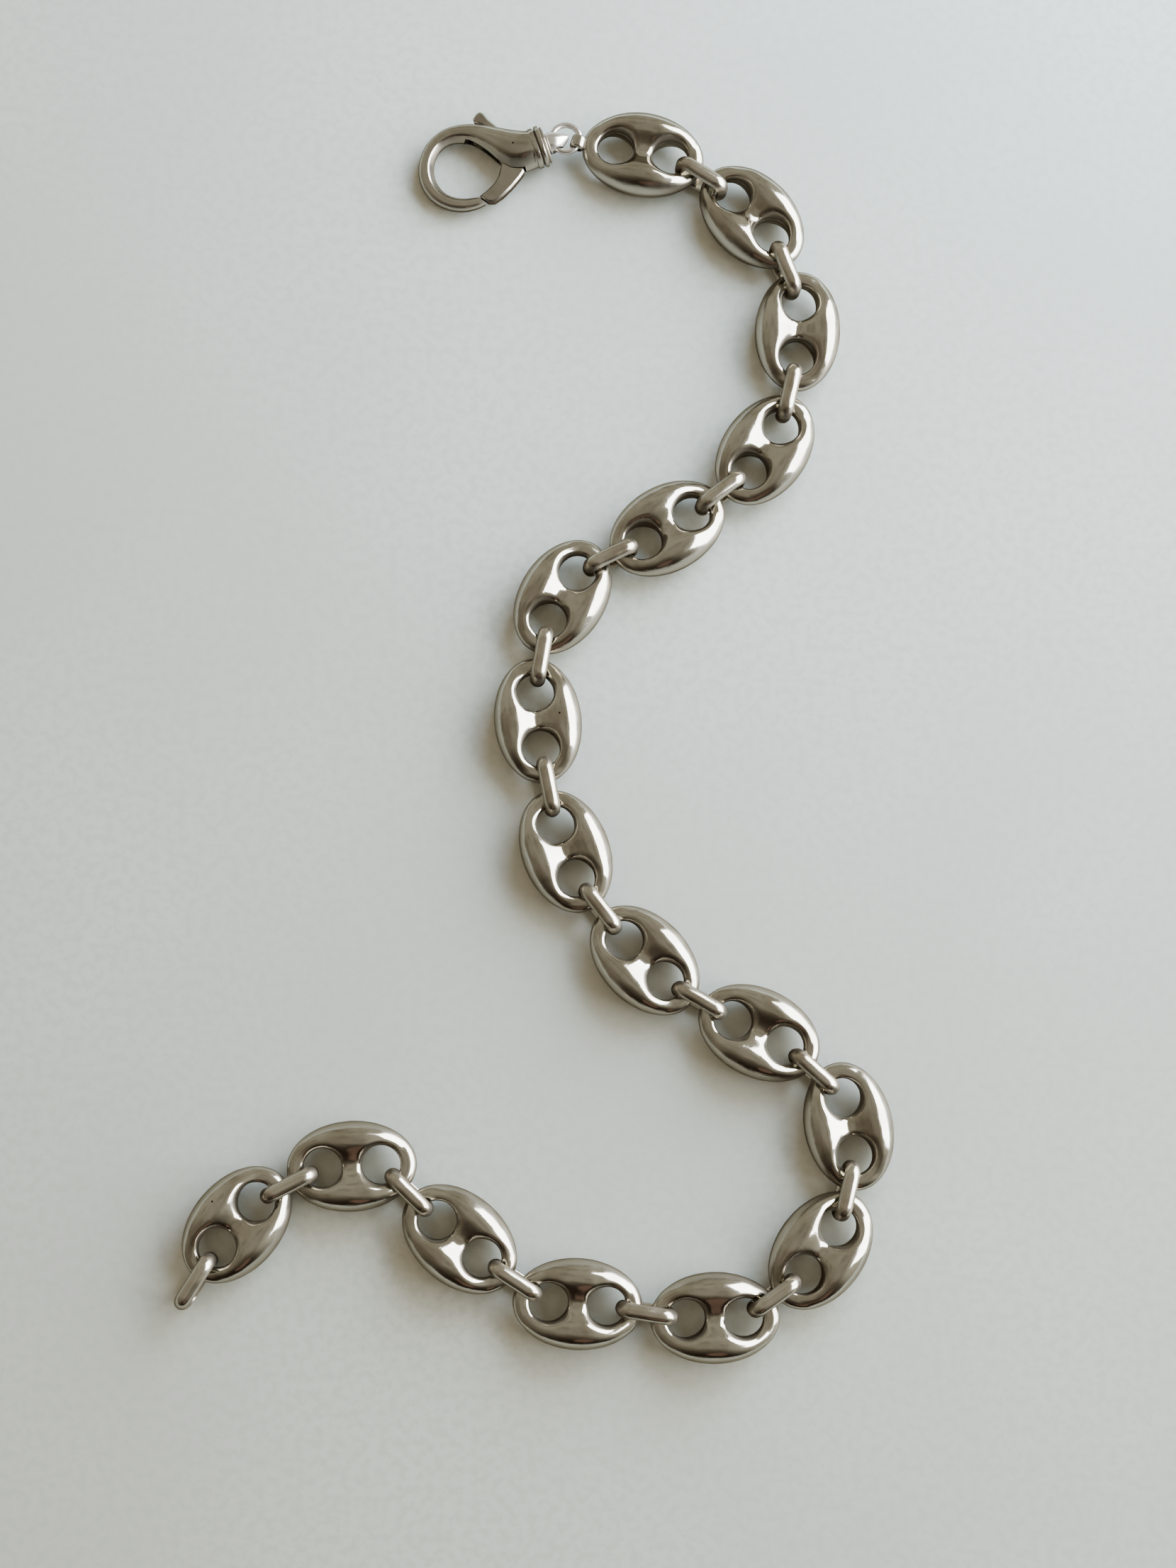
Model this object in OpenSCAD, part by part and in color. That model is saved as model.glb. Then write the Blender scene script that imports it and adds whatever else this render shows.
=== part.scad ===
// Mariner link chain in sterling silver, lying on a flat surface in an open S, in millimetres.
// X runs to the right and Y away from the viewer, Z is up, and the surface it lies on is Z = 0.
// The walk along the chain starts at the clasp end, top left, and ends at the free ring, bottom left.

/* [Puffed link] */
// whole length of a puffed link
link_length = 22.4; // [20:0.1:26]
// whole width of a puffed link
link_width = 15.5; // [13:0.1:18]
// whole thickness of a puffed link at its flanks
link_thickness = 7.6; // [5:0.1:9]
// thickness of the bar at each end of a link
end_bar_thickness = 3.0; // [2:0.1:4]
// bore of the two round holes
hole_d = 6.74; // [5:0.02:8]
// distance between the centres of the two holes
hole_spacing = 10.04; // [9:0.02:12]
// depth of the saddle between the holes, as a share of the half thickness
saddle_share = 0.5; // [0:0.05:0.7]
// height of the rounded lip round each hole
lip_height = 0.8; // [0.3:0.1:1.2]
// width of the rounded lip round each hole
lip_width = 1.2; // [0.6:0.1:1.6]

/* [Connector ring] */
// whole length of the upright ring between two links
ring_length = 10.7; // [9:0.1:12]
// whole height of the upright ring
ring_height = 7.8; // [7:0.1:9]
// width of the half round band
band_width = 2.8; // [2:0.1:3.5]
// outer radius of the ring's corners
ring_corner = 2.8; // [2:0.1:3.9]
// how far the free ring's outer end is pitched down, in degrees
free_ring_pitch = 6; // [0:1:20]

/* [Swivel clasp] */
// heading of the clasp's long axis from hook to swivel, in degrees
clasp_heading = 19.2; // [0:0.1:40]
// how far the hook dips from the swivel to the surface, in degrees
clasp_dip = 5.7; // [0:0.1:10]
// height of the jump ring's plane
jump_height = 4.15; // [3:0.05:5]
// mean radius of the jump ring
jump_radius = 2.55; // [2:0.05:4]
// wire diameter of the jump ring
jump_wire = 1.05; // [0.8:0.05:1.5]
// width of the loop soldered on the first link
bail_width = 2.4; // [2:0.1:3]
// thickness of the rocking lever
lever_thickness = 2.2; // [1.5:0.1:3]
// free space on each side of the lever in its slot
lever_play = 0.2; // [0.1:0.05:0.4]
// how far the lever is drawn rocked open, in degrees
lever_open = 0; // [0:1:25]
// how far the clasp is drawn turned on its swivel, in degrees
swivel_turn = 0; // [-180:5:180]

/* [Hidden] */
$fn = 48;
silver = [0.80, 0.78, 0.74];
shade = [0.70, 0.68, 0.64];
bright = [0.86, 0.85, 0.82];

link_names = ["link_01", "link_02", "link_03", "link_04", "link_05", "link_06",
    "link_07", "link_08", "link_09", "link_10", "link_11", "link_12",
    "link_13", "link_14", "link_15", "link_16", "link_17"];
ring_names = ["ring_01", "ring_02", "ring_03", "ring_04", "ring_05", "ring_06",
    "ring_07", "ring_08", "ring_09", "ring_10", "ring_11", "ring_12",
    "ring_13", "ring_14", "ring_15", "ring_16", "ring_17"];

// How the chain lies, a row for each link and the ring after it:
// the link's heading, the ring's heading, and the distance between the two holes the ring joins.
LINK_HEADING = 0;
RING_HEADING = 1;
HOLE_GAP = 2;
lie = [
    [-9, -32, 13.5],
    [-46, -69, 13.8],
    [-93, -103, 13.4],
    [-125, -143, 13.2],
    [-149, -154, 13.2],
    [-121, -100, 13.3],
    [-84, -79, 13.8],
    [-69, -52, 13.8],
    [-45, -30, 13.8],
    [-26, -42, 13.5],
    [-79, -104, 12.7],
    [-127, -145, 12.7],
    [-179, -189, 13.8],
    [-184, -213, 13.7],
    [-220, -224, 13.6],
    [-177, -153, 12.7],
    [-130, -122, 13.2]];
link_total = len(lie);
chain_start = [18.698, 104.318];

function along(a) = [cos(a), sin(a)];
hole_x = hole_spacing / 2;
hole_r = hole_d / 2;
function far_hole(k) = link_at[k] + hole_x * along(lie[k][LINK_HEADING]);
function next_link(k, p) = p + hole_x * along(lie[k][LINK_HEADING])
    + lie[k][HOLE_GAP] * along(lie[k][RING_HEADING])
    + hole_x * along(lie[k + 1][LINK_HEADING]);
link_at = [for (k = 0, p = chain_start; k < link_total;
    p = k + 1 < link_total ? next_link(k, p) : p, k = k + 1) p];
function ring_at(k) = far_hole(k) + lie[k][HOLE_GAP] / 2 * along(lie[k][RING_HEADING]);

// A puffed link as one closed surface. Stations run round the figure-of-eight crest, ten to a quarter:
// straight across the middle, then fanned round the centre of each hole.
half_l = link_length / 2;
half_w = link_width / 2;
half_t = link_thickness / 2;
crest_s = 4.4;
crest_run = 9.1;
crest_power = 1.3;
quarter = 10;
fan_step = 22.5;
levels = [-1, -0.6, 0, 0.45, 0.85, 1];

function ellipse_y(x) = half_w * sqrt(max(0, 1 - pow(x / half_l, 2)));
function fan_reach(a) = let (
        p = pow(cos(a) / half_l, 2) + pow(sin(a) / half_w, 2),
        q = hole_x * cos(a) / pow(half_l, 2),
        s = pow(hole_x / half_l, 2) - 1)
    (sqrt(q * q - p * s) - q) / p;
function crest_height(x) = end_bar_thickness / 2 + (half_t - end_bar_thickness / 2)
    * pow(max(0, 1 - pow(x / crest_run, 2)), crest_power);
function saddle(s) = 1 - saddle_share * (0.5 + 0.5 * cos(180 * min(1, s / crest_s)));
function lip(q) = lip_height * (1 - sqrt(max(0, 1 - pow(1 - min(1, q / lip_width), 2))));
function top_z(x, s, reach, q) =
    crest_height(x) * saddle(s) * sqrt(max(0, 1 - pow(max(0, (s - crest_s) / (reach - crest_s)), 2)))
    - lip(q) * (s < crest_s + lip_width ? 1 : 0);

// A station of the first quarter: k = 0 and 1 cross the bridge, 2 to 6 cross the hole's inner half,
// and 7 to 10 fan out round the hole's outer half.
function straight_x(k) = k == 0 ? 0 : k == 1 ? (hole_x - hole_r) / 2
    : hole_x + hole_r * cos(180 - (k - 2) * fan_step);
function inner_s(k) = k < 2 ? 0 : k > 6 ? hole_r
    : sqrt(max(0, pow(hole_r, 2) - pow(hole_x - straight_x(k), 2)));
function station_reach(k) = k > 6 ? fan_reach((quarter - k) * fan_step) : ellipse_y(straight_x(k));
function level_s(k, f) = f < 0 ? crest_s + f * (crest_s - inner_s(k))
    : crest_s + f * (station_reach(k) - crest_s);
function flat_point(k, s) = k > 6
    ? [hole_x + s * cos((quarter - k) * fan_step), s * sin((quarter - k) * fan_step)]
    : [straight_x(k), s];
function from_hole(p) = max(0, norm([p[0] - hole_x, p[1]]) - hole_r);
function shell_point(k, f) = let (s = level_s(k, f), p = flat_point(k, s))
    [p[0], p[1], f == 1 ? 0 : top_z(p[0], s, station_reach(k), from_hole(p))];

// The other three quarters are mirror images, so a station's number folds back into the first quarter.
loop = 4 * quarter;
function folded(k) = k <= quarter ? k : k <= 2 * quarter ? 2 * quarter - k
    : k <= 3 * quarter ? k - 2 * quarter : loop - k;
function side_x(k) = k <= 2 * quarter ? 1 : -1;
function side_y(k) = k <= quarter || k >= 3 * quarter ? 1 : -1;
level_count = len(levels);
layer = loop * level_count;
shell_points = [for (up = [1, -1]) for (k = [0:loop - 1]) for (f = levels)
    let (p = shell_point(folded(k), f)) [side_x(k) * p[0], side_y(k) * p[1], up * p[2]]];

// Inner points on the bridge are shared by both sides, and the outermost ones by top and bottom.
function shared(k) = k > quarter && k < 3 * quarter && folded(k) <= 2
    ? (k <= 2 * quarter ? 2 * quarter - k : (6 * quarter - k) % loop) : k;
function id(k, j, down) = let (m = k % loop, n = j == 0 ? shared(m) : m)
    n * level_count + j + (j == level_count - 1 ? 0 : down * layer);
top_faces = [for (k = [0:loop - 1]) for (j = [0:level_count - 2])
    for (t = [[id(k, j, 0), id(k + 1, j + 1, 0), id(k + 1, j, 0)],
              [id(k, j, 0), id(k, j + 1, 0), id(k + 1, j + 1, 0)]]) t];
bottom_faces = [for (k = [0:loop - 1]) for (j = [0:level_count - 2])
    for (t = [[id(k, j, 1), id(k + 1, j, 1), id(k + 1, j + 1, 1)],
              [id(k, j, 1), id(k + 1, j + 1, 1), id(k, j + 1, 1)]]) t];
hole_stations = [for (first = [2, 2 * quarter + 2]) for (k = [first:first + 2 * quarter - 5]) k];
wall_faces = [for (k = hole_stations)
    for (t = [[id(k, 0, 0), id(k + 1, 0, 0), id(k + 1, 0, 1)],
              [id(k, 0, 0), id(k + 1, 0, 1), id(k, 0, 1)]]) t];

module puffed_link() {
    polyhedron(points = shell_points, faces = concat(top_faces, bottom_faces, wall_faces));
}

module place_link(k) {
    translate([link_at[k][0], link_at[k][1], half_t])
        rotate([0, 0, lie[k][LINK_HEADING]])
            children();
}

// The upright ring is a half round band bent to a rounded oblong, flat side inwards.
ring_reach = ring_length / 2 - ring_corner;
ring_rise = ring_height / 2 - ring_corner;
band_r = band_width / 2;
edge_break = 0.25;

module band_section() {
    intersection() {
        circle(r = band_r);
        polygon([[0, edge_break - band_r], [0, band_r - edge_break], [edge_break, band_r],
            [2 * band_r, band_r], [2 * band_r, -band_r], [edge_break, -band_r]]);
    }
}

module ring_bend() {
    rotate_extrude(angle = 90)
        translate([ring_corner - band_r, 0])
            band_section();
}

module ring_straight(run) {
    rotate([90, 0, 0])
        linear_extrude(height = 2 * run, center = true)
            translate([ring_corner - band_r, 0])
                band_section();
}

module upright_ring() {
    rotate([90, 0, 0]) {
        for (turn = [0:3]) {
            across = turn % 2 == 0;
            corner = [(turn == 0 || turn == 3 ? 1 : -1) * ring_reach,
                (turn < 2 ? 1 : -1) * ring_rise, 0];
            translate(corner)
                rotate([0, 0, 90 * turn])
                    ring_bend();
            translate(across ? [corner[0], 0, 0] : [0, corner[1], 0])
                rotate([0, 0, 90 * turn])
                    ring_straight(across ? ring_rise : ring_reach);
        }
    }
}

module place_ring(k) {
    pitch = k == link_total - 1 ? free_ring_pitch : 0;
    lift = ring_height / 2 + ring_reach * sin(pitch) - ring_rise * (1 - cos(pitch));
    translate([ring_at(k)[0], ring_at(k)[1], lift])
        rotate([0, pitch, lie[k][RING_HEADING]])
            children();
}

// The jump ring lies flat, through the loop on the first link and the eye of the swivel.
// Each hole it passes through is drilled straight, half the wire's bend nearer the ring's centre.
bail_lead = 3.25;
bail_r = 1.4;
bail_hole_r = 0.9;
bail_heading = 160.7;
function wire_bend(width) = jump_radius - sqrt(pow(jump_radius, 2) - pow(width / 2, 2));
link_end = link_at[0] - half_l * along(lie[0][LINK_HEADING]);
jump_at = link_end + bail_lead * along(bail_heading);

module jump_ring() {
    translate([jump_at[0], jump_at[1], jump_height])
        rotate_extrude()
            translate([jump_radius, 0])
                circle(d = jump_wire);
}

module place_bail() {
    bail_out = jump_radius - wire_bend(bail_width) / 2;
    translate([jump_at[0], jump_at[1], jump_height])
        rotate([0, 0, bail_heading - 180])
            translate([bail_out, 0, 0])
                rotate([90, 0, 0])
                    children();
}

module clasp_end_link() {
    difference() {
        union() {
            place_link(0)
                puffed_link();
            place_bail()
                cylinder(r = bail_r, h = bail_width, center = true);
        }
        place_bail()
            cylinder(r = bail_hole_r, h = 2 * bail_width, center = true);
    }
}

// The clasp's own frame has its origin in the middle of the hook's eye, x towards the swivel,
// y to the thumb lever's side and z up. The swivel's axis lies a little off the eye's middle.
axis_y = -0.95;
wire_x = 16.68;
swivel_at = jump_at - jump_radius * along(clasp_heading);

module place_clasp(turn) {
    translate([swivel_at[0], swivel_at[1], jump_height])
        rotate([0, -clasp_dip, clasp_heading])
            rotate([turn, 0, 0])
                translate([-wire_x, -axis_y, 0])
                    children();
}

// The hook and body, a row for each section from the hook's tip round to the collar:
// outer edge x and y, inner edge x and y, and the height of the section.
hook = [
    [1.3, -7.75, 0.5, -6.0, 2.2],
    [-0.3, -7.95, -0.4, -5.75, 2.6],
    [-2.6, -7.7, -1.9, -5.35, 2.8],
    [-5.0, -6.65, -3.6, -4.5, 2.9],
    [-7.1, -4.7, -4.9, -3.15, 3.0],
    [-8.35, -2.3, -5.6, -1.5, 3.1],
    [-8.65, 0.5, -5.75, 0.4, 3.2],
    [-7.9, 3.3, -5.2, 2.4, 3.3],
    [-6.2, 5.75, -4.0, 4.0, 3.4],
    [-4.0, 7.35, -2.5, 4.95, 3.5],
    [-1.4, 8.15, -0.9, 5.2, 3.7],
    [1.2, 8.05, 0.8, 4.75, 4.1],
    [3.6, 7.4, 2.5, 3.7, 4.7],
    [5.7, 6.5, 3.9, 2.1, 5.3],
    [7.6, 5.35, 5.0, 0.3, 5.8],
    [9.3, 4.35, 6.1, -1.7, 6.3],
    [10.5, 3.65, 7.8, -3.6, 6.7],
    [11.5, 3.1, 9.8, -4.35, 7.0],
    [12.4, 2.65, 11.9, -4.4, 7.1],
    [13.3, 2.3, 13.3, -4.2, 7.0]];
OUT_X = 0;
OUT_Y = 1;
IN_X = 2;
IN_Y = 3;
TALL = 4;
hook_rows = len(hook);
hook_sides = 16;
squareness = 0.8;

function rounded(c) = sign(c) * pow(abs(c), squareness);
hook_points = [for (r = hook) for (k = [0:hook_sides - 1])
    let (a = 360 * (k + 0.5) / hook_sides, m = rounded(cos(a)))
    [(r[OUT_X] + r[IN_X]) / 2 + m * (r[OUT_X] - r[IN_X]) / 2,
     (r[OUT_Y] + r[IN_Y]) / 2 + m * (r[OUT_Y] - r[IN_Y]) / 2,
     rounded(sin(a)) * r[TALL] / 2]];
function hook_id(i, k) = i * hook_sides + k % hook_sides;
hook_faces = concat(
    [[for (k = [0:hook_sides - 1]) hook_id(0, k)]],
    [[for (k = [0:hook_sides - 1]) hook_id(hook_rows - 1, hook_sides - 1 - k)]],
    [for (i = [0:hook_rows - 2]) for (k = [0:hook_sides - 1])
        for (t = [[hook_id(i, k), hook_id(i + 1, k), hook_id(i + 1, k + 1)],
                  [hook_id(i, k), hook_id(i + 1, k + 1), hook_id(i, k + 1)]]) t]);

// The collar's outline, a row for each corner: distance along the axis, and radius.
collar = [[12.5, 3.3], [12.8, 3.4], [13.0, 3.65], [13.75, 3.65], [13.9, 3.2], [14.05, 3.2],
    [14.2, 3.75], [14.8, 3.75], [14.95, 3.25], [15.1, 3.25], [15.2, 3.4], [15.4, 3.35], [15.5, 3.1]];
collar_end = collar[len(collar) - 1][0];
collar_start = collar[0][0];
post_r = 1.2;
head_r = 2.1;
head_from = 13.0;
head_to = 14.1;
running_gap = 0.15;
cut_past = 1;

module about_axis() {
    translate([0, axis_y, 0])
        rotate([90, 0, 90])
            rotate_extrude()
                children();
}

module axle(r, from, to) {
    translate([from, axis_y, 0])
        rotate([0, 90, 0])
            cylinder(r = r, h = to - from);
}

pivot = [8.6, -1.0];
pin_r = 0.8;
pin_hold = 0.5;
slot = [[0.9, 4.2], [2.4, 5.2], [3.3, 6.2], [3.3, 10.5], [10.9, 10.5], [10.8, 4.0], [11.0, 1.0],
    [10.4, -2.0], [10.4, -9.0], [3.5, -9.0], [0.5, -2.0]];

module clasp_body() {
    difference() {
        union() {
            polyhedron(points = hook_points, faces = hook_faces);
            about_axis()
                polygon(concat([[0, collar_start]], [for (c = collar) [c[1], c[0]]],
                    [[0, collar_end]]));
        }
        linear_extrude(height = lever_thickness + 2 * lever_play, center = true)
            polygon(slot);
        axle(post_r + running_gap, head_from, collar_end + cut_past);
        axle(head_r + running_gap, head_from - running_gap, head_to + running_gap);
    }
    translate([pivot[0], pivot[1], 0])
        cylinder(r = pin_r, h = lever_thickness + 2 * (lever_play + pin_hold), center = true);
}

// The lever rocks on the pin: the gate that closes the eye, the arm in the slot, and the thumb tab.
gate = [[0.85, -6.1], [1.9, -7.65], [3.0, -8.05], [4.8, -7.55], [6.8, -6.6], [8.8, -5.4],
    [9.9, -4.6], [10.1, -3.6], [10.0, -1.2], [9.4, 1.6], [8.0, 5.3], [7.0, 7.0], [6.45, 8.5],
    [5.9, 8.9], [5.15, 8.7], [4.35, 8.1], [4.35, 7.4], [6.3, 5.6], [6.7, 2.4], [6.5, 0.4],
    [6.5, -1.8], [5.3, -3.65], [4.1, -4.75], [2.45, -5.55]];
bore_play = 0.12;

module clasp_lever(open) {
    translate([pivot[0], pivot[1], 0])
        rotate([0, 0, -open])
            difference() {
                translate([-pivot[0], -pivot[1], 0])
                    linear_extrude(height = lever_thickness, center = true)
                        polygon(gate);
                cylinder(r = pin_r + bore_play, h = 2 * lever_thickness, center = true);
            }
}

// The swivel turns in the collar: a headed post, and an egg-shaped eye for the jump ring.
// The eye's outline has a row for each corner: distance from the collar, and radius.
eye_outline = [[0, 1.65], [0.2, 1.9], [0.8, 1.95], [1.5, 1.85], [2.1, 1.65], [2.7, 1.35], [3.3, 0.95],
    [3.8, 0.55], [4.1, 0.2]];
eye_from = collar_end + running_gap;
eye_to = eye_from + eye_outline[len(eye_outline) - 1][0];
post_root = 0.5;
eye_hole_r = 1.1;
eye_hole_reach = 1.75;

module clasp_swivel() {
    difference() {
        union() {
            axle(post_r, head_from, eye_from + post_root);
            axle(head_r, head_from, head_to);
            about_axis()
                polygon(concat([[0, eye_from]], [for (e = eye_outline) [e[1], eye_from + e[0]]],
                    [[0, eye_to]]));
        }
        translate([wire_x + wire_bend(2 * eye_hole_reach) / 2, axis_y, 0])
            rotate([90, 0, 0])
                cylinder(r = eye_hole_r, h = 4 * eye_hole_reach, center = true);
    }
}

for (k = [0:link_total - 1]) {
    color(silver) {
            if (k == 0) clasp_end_link();
            else place_link(k) puffed_link();
        }
    color(shade) place_ring(k) upright_ring();
}
color(silver) place_clasp(swivel_turn) clasp_body();
color(bright) place_clasp(swivel_turn) clasp_lever(lever_open);
color(shade) place_clasp(0) clasp_swivel();
color(bright) jump_ring();
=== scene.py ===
# %% [markdown]
# A silver mariner chain, lying in an open S
#
# The chain is made of puffed links and upright rings, and ends in a lobster clasp that turns on a swivel.
# Each cell makes one kind of piece from a few named sizes, all in millimetres, and the same sizes as in CAD.
# Surfaces are made as whole arrays of points, so that a formula is written once for every point of it.

import bmesh
import bpy
import numpy as np
from mathutils import Matrix, Vector


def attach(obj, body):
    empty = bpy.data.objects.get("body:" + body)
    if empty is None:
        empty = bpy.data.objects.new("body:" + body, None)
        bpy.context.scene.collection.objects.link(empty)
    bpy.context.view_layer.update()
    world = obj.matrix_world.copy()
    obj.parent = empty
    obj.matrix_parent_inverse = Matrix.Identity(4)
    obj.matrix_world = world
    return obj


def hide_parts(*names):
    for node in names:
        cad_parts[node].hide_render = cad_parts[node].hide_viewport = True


MM = 0.001
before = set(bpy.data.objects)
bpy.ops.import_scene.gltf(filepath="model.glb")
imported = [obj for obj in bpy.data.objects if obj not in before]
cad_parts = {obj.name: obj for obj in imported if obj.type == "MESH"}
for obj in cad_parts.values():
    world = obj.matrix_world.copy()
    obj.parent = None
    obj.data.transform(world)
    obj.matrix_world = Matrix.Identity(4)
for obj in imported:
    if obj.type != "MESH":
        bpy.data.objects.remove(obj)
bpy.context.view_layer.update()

# %% [markdown]
# Nodes in few words
#
# A material is a tree of nodes. It could be built by hand in the shader editor, or here with a line for every
# socket. One small function that adds any node with its settings and links was chosen, so that a tree reads
# as a short list. A second one lays coats of colour over each other, as patches, painted shade and pits lie
# one over another.

# %% One helper for colours, one that adds a node, and one that lays coats of colour


def linear(code):
    """An sRGB hex colour as linear RGBA: each channel c becomes ((c + 0.055) / 1.055) ^ 2.4, or c / 12.92
    where it is very dark."""
    channels = np.array([int(code[i:i + 2], 16) for i in (1, 3, 5)]) / 255
    low, high = channels / 12.92, ((channels + 0.055) / 1.055) ** 2.4
    return (*np.where(channels <= 0.04045, low, high), 1.0)


def add(tree, kind, inputs=None, **settings):
    """Add a node, set its properties, and fill or link its inputs, each by its name or its number."""
    node = tree.nodes.new(kind)
    for name, value in settings.items():
        setattr(node, name, value)
    for name, value in (inputs or {}).items():
        if isinstance(value, bpy.types.NodeSocket):
            tree.links.new(value, node.inputs[name])
        else:
            node.inputs[name].default_value = value
    return node


def coats(tree, ground, rows):
    """Lay coats over a ground, a hex colour or a socket. A row for each coat: the value that steers it, where
    it starts, where it is full, its share where it is full, and its colour. A Mix node for colours takes its
    share at input 0 and the two colours at 6 and 7, and gives the mixed one at output 2."""
    colour = linear(ground) if isinstance(ground, str) else ground
    for value, start, full, share, code in rows:
        amount = add(tree, "ShaderNodeMapRange", {
            "Value": value, "From Min": start, "From Max": full, "To Max": share,
        }, interpolation_type="SMOOTHSTEP")
        coat = add(tree, "ShaderNodeMix", {0: amount.outputs["Result"], 6: colour, 7: linear(code)},
                   data_type="RGBA")
        colour = coat.outputs[2]
    return colour


print(f"The hex colour #808080 is {linear('#808080')[0]:.3f} of full light")

# %% [markdown]
# Buffed sterling silver
#
# The whole chain is sterling silver, 925 parts in 1,000, pressed or cast and then buffed. Buffed silver shows
# little colour of its own: it shows the room. Wear makes it look real, so its gloss varies from place to
# place, and it has hairline scratches and soft dents. Its colour also carries painted shade: brown low on the
# steep flanks, and dark brown inside the holes and along the seam at half height, standing for the shadowed
# paper and the contact shadow that these places mirror. A picture of it could be wrapped round each piece,
# but it would stretch and show its edges. Noise on Object coordinates, and how steep the surface is in the
# piece's own frame, were chosen instead. Both ride with a piece that moves, both faces are buffed alike, and
# every pattern has its size in millimetres.

# %% Buffed silver, with each pattern's size in millimetres
PATCH = 6.0
PATCHY = (0.42, 0.68)  # the noise's value where a dull patch starts and where it is full
CLOUD = 2.4
CLOUDY = (0.35, 0.7)  # the noise's value where the gloss is best and where it is worst
DENT = 4.3
DENT_DEPTH = 0.36
DENT_STRENGTH = 0.6
HAIR = (1.4, 0.24, 1.4)
HAIR_DEPTH = 0.1
HAIR_STRENGTH = 0.04
# A dark brown tint at the metal's grazing edges: painted shade along every silhouette
EDGE_SHADE_TINT = "#70675e"
FLANK = (0.82, 0.5)  # flatness, 1 when level and 0 when upright, where a flank starts and where it is full
# Share of the brown painted shade on the steep flanks, standing for the shadowed paper they mirror
FLANK_SHADE_SHARE = 0.9
FLANK_ROUGH = 0.3
# Dark brown painted shade at the seam's height and inside the holes, standing for the contact shadow mirrored
# there
PAINTED_SHADE = "#4a3c2c"
PAINTED_SHADE_RANGE = (0.55, 0.08)  # the mask's value where the painted shade starts and where it is full
SEAM_REACH = 3.6


def silver(name, bright, dull, flank_shade, smooth, rough, shade_share, seam):
    """Patches of dull silver, painted shade on the steep flanks, darker painted shade at the seam's height,
    uneven gloss, dents and scratches. The three colours run from the crown to the flanks, the last one
    painted shade; smooth and rough are roughness, the next a share of the darker painted shade, and seam a
    height. The mask for that shade is flatness + distance above or below the seam / SEAM_REACH, and the shade
    is full where it is low."""
    material = bpy.data.materials.new(name)
    material.use_nodes = True
    tree = material.node_tree
    shader = tree.nodes["Principled BSDF"]
    piece = add(tree, "ShaderNodeTexCoord")
    where = piece.outputs["Object"]
    slope = add(tree, "ShaderNodeSeparateXYZ", {"Vector": piece.outputs["Normal"]})
    flat = add(tree, "ShaderNodeMath", {0: slope.outputs["Z"]}, operation="ABSOLUTE").outputs["Value"]
    patch = add(tree, "ShaderNodeTexNoise", {"Vector": where, "Scale": 1 / (PATCH * MM), "Detail": 4.0})
    height = add(tree, "ShaderNodeSeparateXYZ", {"Vector": where}).outputs["Z"]
    above_seam = add(tree, "ShaderNodeMath", {0: height, 1: seam * MM}, operation="SUBTRACT")
    off_seam = add(tree, "ShaderNodeMath", {0: above_seam.outputs["Value"]}, operation="ABSOLUTE")
    clear_of_shade = add(tree, "ShaderNodeMath", {
        0: off_seam.outputs["Value"], 1: 1 / (SEAM_REACH * MM), 2: flat}, operation="MULTIPLY_ADD")
    # The coats: dull patches at random, painted shade on the steep flanks, darker painted shade at the seam's
    # height
    colour = coats(tree, bright, [
        (patch.outputs["Fac"], *PATCHY, 1.0, dull),
        (flat, *FLANK, FLANK_SHADE_SHARE, flank_shade),
        (clear_of_shade.outputs["Value"], *PAINTED_SHADE_RANGE, shade_share, PAINTED_SHADE)])
    cloud = add(tree, "ShaderNodeTexNoise", {"Vector": where, "Scale": 1 / (CLOUD * MM), "Detail": 3.0})
    uneven = add(tree, "ShaderNodeMapRange", {
        "Value": cloud.outputs["Fac"], "From Min": CLOUDY[0], "From Max": CLOUDY[1],
        "To Min": smooth, "To Max": rough})
    worn = add(tree, "ShaderNodeMapRange", {
        "Value": flat, "From Min": FLANK[0], "From Max": FLANK[1], "To Max": FLANK_ROUGH})
    gloss = add(tree, "ShaderNodeMath", {
        0: uneven.outputs["Result"], 1: worn.outputs["Result"]}, operation="ADD")
    along_hairs = add(tree, "ShaderNodeMapping", {
        "Vector": where, "Scale": [1 / (size * MM) for size in HAIR]})
    hairs = add(tree, "ShaderNodeTexNoise", {
        "Vector": along_hairs.outputs["Vector"], "Scale": 1.0, "Detail": 6.0})
    dents = add(tree, "ShaderNodeTexNoise", {"Vector": where, "Scale": 1 / (DENT * MM), "Detail": 1.0})
    scratched = add(tree, "ShaderNodeBump", {
        "Strength": HAIR_STRENGTH, "Distance": HAIR_DEPTH * MM, "Height": hairs.outputs["Fac"]})
    dented = add(tree, "ShaderNodeBump", {
        "Strength": DENT_STRENGTH, "Distance": DENT_DEPTH * MM, "Height": dents.outputs["Fac"],
        "Normal": scratched.outputs["Normal"]})
    tree.links.new(colour, shader.inputs["Base Color"])
    tree.links.new(gloss.outputs["Value"], shader.inputs["Roughness"])
    tree.links.new(dented.outputs["Normal"], shader.inputs["Normal"])
    shader.inputs["Metallic"].default_value = 1.0
    # The edges' tint is painted shade along the silhouettes
    shader.inputs["Specular Tint"].default_value = linear(EDGE_SHADE_TINT)
    return material


# Each call gives the crown's, the patches' and the flanks' colours, the last one painted shade, then
# roughness, the share of darker painted shade and its height
# Pressed sheet, mirror-smooth on top, so it gives the eye long bright bands that break at soft dents
LINK_SILVER = silver("buffed silver sheet, links", "#bfbcb1", "#aca79a", "#9e9688", 0.07, 0.16, 0.5, 3.8)
# Drawn band, rubbed by the links, so it gives the eye broader and softer streaks
RING_SILVER = silver("buffed silver band, rings", "#ccc8bc", "#b1aa9b", "#9b9385", 0.11, 0.22, 0.6, 3.9)
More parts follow.
